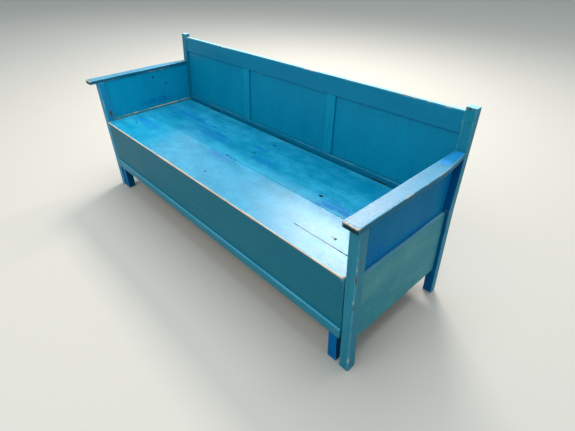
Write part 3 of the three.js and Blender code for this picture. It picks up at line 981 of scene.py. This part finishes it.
# Side faces of the drawer legs: a darker copy of the leg paint, which is painted shade beside the posts.
leg_side_painted_shade = old_paint(
    "leg_side_painted_shade",
    screen_colour(0, 70, 110),
    screen_colour(0, 80, 120),
    ALONG_Z,
    shine=0.45,
    gloss=0.02,
    dirt=0.04,
)
LEG_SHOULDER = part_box("front_board")[0].z - FIT
LEG_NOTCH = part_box("front_board")[1].y + FIT
for node in ("left_drawer_leg", "right_drawer_leg"):
    low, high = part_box(node)
    outline = (
        (low.y, low.z),
        (high.y, low.z),
        (high.y, high.z),
        (LEG_NOTCH, high.z),
        (LEG_NOTCH, LEG_SHOULDER),
        (low.y, LEG_SHOULDER),
    )
    bm = sawn_outline([(low.x, y, z) for y, z in outline], (high.x - low.x, 0, 0))
    ease_edges(bm, ease=0.0015)
    wear_down(bm, {"": 0.2, "bottom": 0.5}, step=0.03)
    leg = finish(node + "_timber", bm, leg_paint, "pull_out_bed", node)
    # Painted shade on the legs' side faces.
    repaint(leg, leg_side_painted_shade, lambda face: abs(face.normal.x) > 0.5)

# ---------------------------------------------------------------------------------------
# The seat lid: two wide pine boards on three battens, painted and worn by sitting. The
# front board has a drying crack at its right end, and its front edge is bare all along.
# ---------------------------------------------------------------------------------------
front_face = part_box("right_front_post")[0].y
seat_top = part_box("front_lid_board")[1].z


def on_seat(x, y):
    """A place on the seat, from the middle and from the front of the posts, in metres."""
    return (x, front_face + y, seat_top)


DEEP_PATCHES = [
    (on_seat(-0.74, 0.155), (0.12, 0.034, 0.02), 5.4),
    (on_seat(-0.62, 0.400), (0.22, 0.036, 0.02), 5.0),
    (on_seat(-0.33, 0.330), (0.15, 0.040, 0.02), 5.4),
    (on_seat(-0.08, 0.215), (0.08, 0.022, 0.02), 5.0),
    (on_seat(0.14, 0.322), (0.075, 0.026, 0.02), 4.0),
    (on_seat(0.02, 0.400), (0.045, 0.020, 0.02), 5.0),
    (on_seat(0.63, 0.280), (0.10, 0.034, 0.02), 5.4),
    (on_seat(0.80, 0.330), (0.08, 0.060, 0.02), 5.6),
]
SEAT_CHIPS = [
    (on_seat(0.741, 0.128), (0.012, 0.0028, 0.01), 0.6),
    (on_seat(-0.052, 0.243), (0.016, 0.0035, 0.01), 1.0),
    (on_seat(0.020, 0.233), (0.007, 0.0035, 0.01), 1.0),
]
seat_paint, rear_seat_paint = [
    old_paint(
        name,
        screen_colour(0, 134, 176),
        screen_colour(44, 168, 210),
        ALONG_X,
        shine=shine,
        gloss=gloss,
        fading=0.8,
        dirt=0.1,
        crust=1.4,
        patches=DEEP_PATCHES,
        patch_paint=screen_colour(0, 118, 184),
        chips=SEAT_CHIPS,
        chip_paint=GRIME,
    )
    for name, shine, gloss in (("seat_paint", 0.24, 0.5), ("rear_seat_paint", 0.32, 0.16))
]

dirty_wood = bare_pine("dirty_wood", ALONG_X, screen_colour(46, 34, 28), screen_colour(24, 20, 20))
LID_CORNER = 0.012
SEAM = 0.240  # from the front of the posts to the joint between the two boards
NAIL_HOLE = 0.0060
NAIL_DEPTH = 0.0044
CRACK_START = (0.596, 0.087)
KNOT_HOLE = (0.528, 0.295)
KNOT_RADII = (0.0105, 0.0064)
KNOT_DEPTH = 0.012
EDGE = 1  # material place of the paint on the front edge
PIT = 2  # material place of the dark wood in holes and cracks
NAIL_PLACES = (
    (-0.774, 0.111),
    (-0.766, 0.221),
    (-0.760, 0.352),
    (-0.770, 0.486),
    (0.012, 0.074),
    (-0.030, 0.249),
    (0.025, 0.350),
    (0.035, 0.477),
    (0.757, 0.125),
    (0.770, 0.214),
    (0.762, 0.360),
    (0.772, 0.492),
)


def face_round(bm, centre):
    """The upward face that holds a place."""
    for face in bm.faces:
        if face.normal.z > 0.9 and abs(face.calc_center_median().z - centre.z) < 0.002:
            low, high = size_of(face.verts)
            if low.x <= centre.x <= high.x and low.y <= centre.y <= high.y:
                return face


def sink_hole(bm, centre, radii, depth):
    """Sinks a round hole: four cuts mark out a small square, which is rounded and pushed in."""
    for axis in (0, 1):
        for side in (-1, 1):
            across = Vector([float(i == axis) for i in range(3)])
            face = face_round(bm, centre)
            geometry = [face, *face.edges, *face.verts]
            cut = centre + across * side * radii[axis] * 1.5
            bmesh.ops.bisect_plane(bm, geom=geometry, plane_co=cut, plane_no=across)
    face = face_round(bm, centre)
    bmesh.ops.inset_individual(bm, faces=[face], thickness=0.1 * min(radii), use_even_offset=True)
    bmesh.ops.bisect_edges(bm, edges=face.edges[:], cuts=3)
    for vert in face.verts:
        out = Vector((vert.co.x - centre.x, vert.co.y - centre.y, 0)).normalized()
        vert.co.x = centre.x + out.x * radii[0]
        vert.co.y = centre.y + out.y * radii[1]
    walls = bmesh.ops.inset_individual(bm, faces=[face], thickness=0.12 * min(radii), depth=-depth)
    for pit in (face, *walls["faces"]):
        pit.material_index = PIT


def open_crack(bm, start, width, depth):
    """Opens a drying crack from a place to the board's right-hand end, widest at the end."""
    faces = [f for f in bm.faces if f.calc_center_median().x > start.x and f.normal.z > -0.5]
    edges = {edge for face in faces for edge in face.edges}
    verts = {vert for face in faces for vert in face.verts}
    cut = bmesh.ops.bisect_plane(
        bm, geom=[*faces, *edges, *verts], plane_co=start, plane_no=Vector((0, 1, 0))
    )["geom_cut"]
    crack = [item for item in cut if isinstance(item, bmesh.types.BMEdge)]
    bmesh.ops.bevel(
        bm, geom=crack, offset=width / 2, affect="EDGES", segments=2, profile=0.5, material=-1
    )
    bm.normal_update()
    end = max(vert.co.x for vert in bm.verts)
    for vert in bm.verts:
        off = vert.co.y - start.y
        if vert.co.x > start.x - 0.001 and abs(off) < width:
            open_share = 0.35 + 0.65 * (vert.co.x - start.x) / (end - start.x)
            vert.co.y = start.y + off * open_share
            if abs(off) < 0.1 * width:
                vert.co -= vert.normal * depth
                for face in vert.link_faces:
                    face.material_index = PIT


low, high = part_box("front_lid_board")
bm = board(low, high)
round_corner(bm, low.x, low.y, LID_CORNER)
round_corner(bm, high.x, low.y, LID_CORNER)
ease_edges(bm, ease=0.0022)
wear_down(bm, {"": 0.1, "front top": 0.98})
open_crack(bm, Vector(on_seat(*CRACK_START)), width=0.0046, depth=0.009)
for x, y in NAIL_PLACES:
    if y < SEAM:
        sink_hole(bm, Vector(on_seat(x, y)), (NAIL_HOLE, NAIL_HOLE), NAIL_DEPTH)
lid_front = finish(
    "front_lid_board_timber", bm, seat_paint, "lid", "front_lid_board"
)

bm = board(*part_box("rear_lid_board"))
ease_edges(bm, ease=0.0015)
wear_down(bm, {"": 0.1})
for x, y in NAIL_PLACES:
    if y > SEAM:
        sink_hole(bm, Vector(on_seat(x, y)), (NAIL_HOLE, NAIL_HOLE), NAIL_DEPTH)
sink_hole(bm, Vector(on_seat(*KNOT_HOLE)), KNOT_RADII, KNOT_DEPTH)
lid_rear = finish(
    "rear_lid_board_timber", bm, rear_seat_paint, "lid", "rear_lid_board"
)
for lid_board in (lid_front, lid_rear):
    lid_board.data.materials.append(front_paint)
    lid_board.data.materials.append(dirty_wood)
    repaint(lid_board, pine_across, lambda face: face.normal.z < -0.5)
for face in lid_front.data.polygons:
    if face.normal.y < -0.9 and face.material_index == 0:
        face.material_index = EDGE

# ---------------------------------------------------------------------------------------
# Nails. Cut nails with small round heads: those in the lid hold the battens and have sunk
# in their holes, and those in the moulding are painted over.
# ---------------------------------------------------------------------------------------


def nail_heads(name, places, out, radius, height, material, body):
    """One piece of several nail heads, each low and round, standing out along a direction."""
    bm = bmesh.new()
    turn = Vector(out).to_track_quat("Z", "Y").to_matrix().to_4x4()
    for centre in places:
        bmesh.ops.create_cone(
            bm,
            cap_ends=True,
            segments=16,
            radius1=radius,
            radius2=0.72 * radius,
            depth=height,
            matrix=Matrix.Translation(Vector(centre) + Vector(out) * height / 2) @ turn,
        )
    return finish(name, bm, material, body)


def rusty_steel(name, clean, rusted, rust_share):
    """Old steel: dark where it is rubbed, brown and rough where it has rusted."""
    material = bpy.data.materials.new(name)
    material.use_nodes = True
    tree = material.node_tree
    shader = tree.nodes["Principled BSDF"]
    where = place(tree, "ShaderNodeTexCoord").outputs["Object"]
    inputs = {"Vector": where, "Scale": 130.0, "Detail": 6.0, "Roughness": 0.7}
    rust = place(tree, "ShaderNodeTexNoise", inputs).outputs[0]
    rusty = between(tree, rust, 0.62 - 0.2 * rust_share, 0.74 - 0.2 * rust_share)
    tree.links.new(mix(tree, rusty, clean, rusted), shader.inputs["Base Color"])
    tree.links.new(between(tree, rusty, 0, 1, 0.4, 0.85), shader.inputs["Roughness"])
    tree.links.new(between(tree, rusty, 0, 1, 0.9, 0.1), shader.inputs["Metallic"])
    bump = place(tree, "ShaderNodeBump", {"Height": rust, "Strength": 0.3, "Distance": 0.0004})
    tree.links.new(bump.outputs[0], shader.inputs["Normal"])
    return material


nail_steel = rusty_steel("nail_steel", screen_colour(18, 16, 16), screen_colour(26, 18, 14), 2)
sunk = [Vector(on_seat(x, y)) - Vector((0, 0, NAIL_DEPTH - 0.0002)) for x, y in NAIL_PLACES]
nail_heads(
    "lid_nails",
    sunk,
    out=(0, 0, 1),
    radius=NAIL_HOLE * 0.7,
    height=0.0012,
    material=nail_steel,
    body="lid",
)
MOULDING_NAILS = 9
NAIL_MARGIN = 0.06  # from the moulding's end to its last nail
low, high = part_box("front_moulding")
nail_step = (high.x - low.x - 2 * NAIL_MARGIN) / (MOULDING_NAILS - 1)
in_moulding = [
    (low.x + NAIL_MARGIN + nail_step * i, low.y, (low.z + high.z) / 2) for i in range(MOULDING_NAILS)
]
nail_heads(
    "moulding_nails",
    in_moulding,
    out=(0, -1, 0),
    radius=0.0022,
    height=0.0003,
    material=moulding_paint,
    body="pull_out_bed",
)

# ---------------------------------------------------------------------------------------
# Hinges. Three small butt hinges in the gap behind the lid: pressed steel leaves and a
# pin each, gone dark and rusty in places.
# ---------------------------------------------------------------------------------------
steel = rusty_steel("hinge_steel", screen_colour(34, 50, 60), screen_colour(42, 42, 44), 0.6)
for node, thing in frame["nodes"].items():
    if "hinge" in node:
        thing.data.materials.clear()
        thing.data.materials.append(steel)

low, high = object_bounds()
